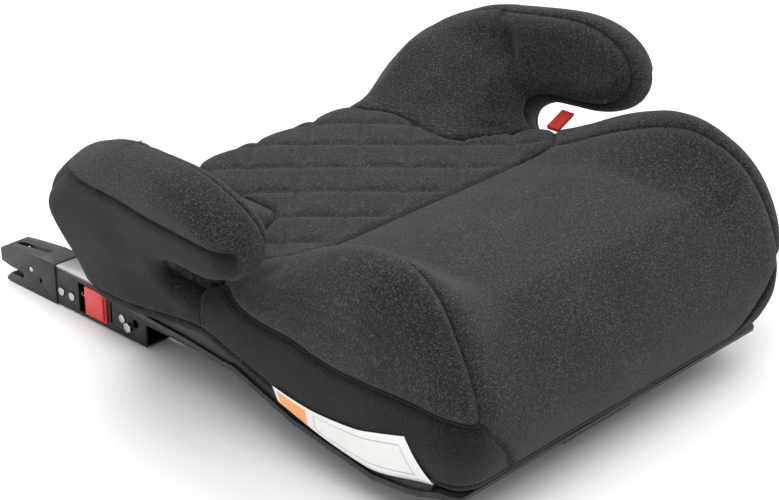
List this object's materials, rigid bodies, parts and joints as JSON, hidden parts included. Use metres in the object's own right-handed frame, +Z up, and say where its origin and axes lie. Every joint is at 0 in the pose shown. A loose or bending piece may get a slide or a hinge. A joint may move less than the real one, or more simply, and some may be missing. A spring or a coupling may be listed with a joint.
{
  "type": "child booster seat",
  "caption": "Backless child booster seat with a padded cover, hooked armrests over belt gaps and two sliding latch arms at the rear.",
  "frame": {"origin": "centre of the bounding box on the plane the seat rests on", "axes": "+Z up, +Y towards the latch arms at the rear, -Y the way the seated child faces, X the symmetry axis across the seat"},
  "size_m": [0.5022, 0.622, 0.25],
  "materials": {
    "black_plastic": "fine grained black polypropylene",
    "steel_light": "zinc plated",
    "steel_dark": "dark e-coat",
    "foam": "open cell foam under the cover",
    "fabric": "charcoal melange weave",
    "fabric_dark": "dark melange weave",
    "piping": "black corded piping",
    "red_webbing": "red woven tape",
    "red_plastic": "red moulded plastic",
    "label": "white film label, left blank"
  },
  "bodies": {
    "seat_base": {"base_shell": "black_plastic", "bottom_tray": "black_plastic", "guide_channel_left": "black_plastic", "guide_channel_right": "black_plastic", "tray_screws": "steel_light", "guide_screws": "steel_light", "seat_foam": "foam", "bolster_foam_left": "foam", "bolster_foam_right": "foam", "armrest_foam_left": "foam", "armrest_foam_right": "foam", "front_cover": "fabric", "quilted_cover": "fabric", "rear_skirt": "fabric_dark", "bolster_cover_left": "fabric", "bolster_cover_right": "fabric", "side_skirt_left": "fabric_dark", "side_skirt_right": "fabric_dark", "hem_binding": "fabric_dark", "armrest_outer_cover_left": "fabric", "armrest_outer_cover_right": "fabric", "armrest_inner_cover_left": "fabric", "armrest_inner_cover_right": "fabric", "armrest_band_left": "fabric", "armrest_band_right": "fabric", "piping_left": "piping", "piping_right": "piping", "belt_guide_left": "red_webbing", "belt_guide_right": "red_webbing", "side_label": "label", "adjuster_spring": "steel_light"},
    "latch_carriage": {"cross_tube": "steel_light", "length_rack": "steel_dark", "latch_channel_left": "steel_dark", "latch_channel_right": "steel_dark", "latch_plate_left": "steel_light", "latch_plate_right": "steel_light", "slide_rail_left": "steel_light", "slide_rail_right": "steel_light", "jaw_housing_left": "black_plastic", "jaw_housing_right": "black_plastic", "latch_rivets": "steel_light", "latch_bolts": "steel_light", "hook_pins": "steel_light", "release_spring_left": "steel_light", "release_spring_right": "steel_light"},
    "hook_left": {"hook_left": "steel_light"},
    "hook_right": {"hook_right": "steel_light"},
    "release_slider_left": {"release_slider_left": "red_plastic"},
    "release_slider_right": {"release_slider_right": "red_plastic"},
    "length_adjuster": {"adjuster_handle": "black_plastic", "adjuster_rod": "steel_light", "lock_pawl": "steel_dark"}
  },
  "joints": [
    {"name": "latch_arm_slide", "type": "slide", "parent": "seat_base", "child": "latch_carriage", "axis": [0, 1, 0], "range_m": [-0.1, 0]},
    {"name": "release_left_slide", "type": "slide", "parent": "latch_carriage", "child": "release_slider_left", "axis": [0, 1, 0], "range_m": [0, 0.006], "stiffness_N_per_m": 300, "springref_m": -0.005, "deforming": ["release_spring_left"]},
    {"name": "hook_left_swing", "type": "hinge", "parent": "latch_carriage", "child": "hook_left", "pos_m": [-0.14, 0.266, 0.024], "axis": [1, 0, 0], "range_deg": [-30, 0]},
    {"name": "release_right_slide", "type": "slide", "parent": "latch_carriage", "child": "release_slider_right", "axis": [0, 1, 0], "range_m": [0, 0.006], "stiffness_N_per_m": 300, "springref_m": -0.005, "deforming": ["release_spring_right"]},
    {"name": "hook_right_swing", "type": "hinge", "parent": "latch_carriage", "child": "hook_right", "pos_m": [0.14, 0.266, 0.024], "axis": [1, 0, 0], "range_deg": [-30, 0]},
    {"name": "adjuster_pull", "type": "slide", "parent": "seat_base", "child": "length_adjuster", "axis": [0, -1, 0], "range_m": [0, 0.01], "stiffness_N_per_m": 400, "springref_m": -0.005, "deforming": ["adjuster_spring"]}
  ],
  "couplings": [
    {"joint": "hook_left_swing", "follows": "release_left_slide", "rad_per_m": -87.2},
    {"joint": "hook_right_swing", "follows": "release_right_slide", "rad_per_m": -87.2}
  ]
}
